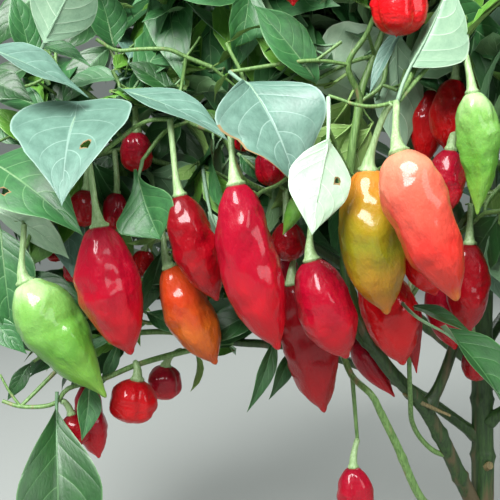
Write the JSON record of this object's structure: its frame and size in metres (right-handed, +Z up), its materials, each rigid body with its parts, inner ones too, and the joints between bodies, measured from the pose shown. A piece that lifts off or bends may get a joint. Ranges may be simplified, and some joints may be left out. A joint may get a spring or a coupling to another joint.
{
  "type": "chilli pepper plant",
  "caption": "Bushy chilli pepper plant with ripe fruit: a flared green trunk cut flat at the ground, forked tapering boughs, and leafy twigs hung with slim pointed peppers.",
  "frame": {"origin": "centre of the flat cut under the trunk, at ground level", "axes": "+Z up along the trunk; -Y towards the side where the ripe fruits hang in full view; +X to the right when that side is faced"},
  "size_m": [0.6498, 0.4156, 0.5902],
  "materials": {
    "stem": "green bark, ribbed and partly woody, satin",
    "foliage": "green leaves with a slight sheen, and glossy red fruits"
  },
  "bodies": {
    "root": {"trunk": "stem", "left_bough": "stem", "left_fork_bough": "stem", "front_left_bough": "stem", "low_shoot": "stem", "low_left_bough": "stem", "far_left_bough": "stem", "back_left_bough": "stem", "right_front_bough": "stem", "right_bough": "stem", "back_right_bough": "stem", "leader_bough": "stem", "upper_left_bough": "stem", "upper_front_bough": "stem", "upper_right_bough": "stem", "far_left_foliage": "foliage", "front_left_foliage": "foliage", "front_centre_foliage": "foliage", "front_right_foliage": "foliage", "low_front_foliage": "foliage", "low_left_foliage": "foliage", "back_left_foliage": "foliage", "back_right_foliage": "foliage", "right_foliage": "foliage", "right_front_foliage": "foliage", "upper_left_foliage": "foliage", "upper_front_foliage": "foliage", "upper_right_foliage": "foliage", "top_foliage": "foliage"}
  },
  "joints": []
}
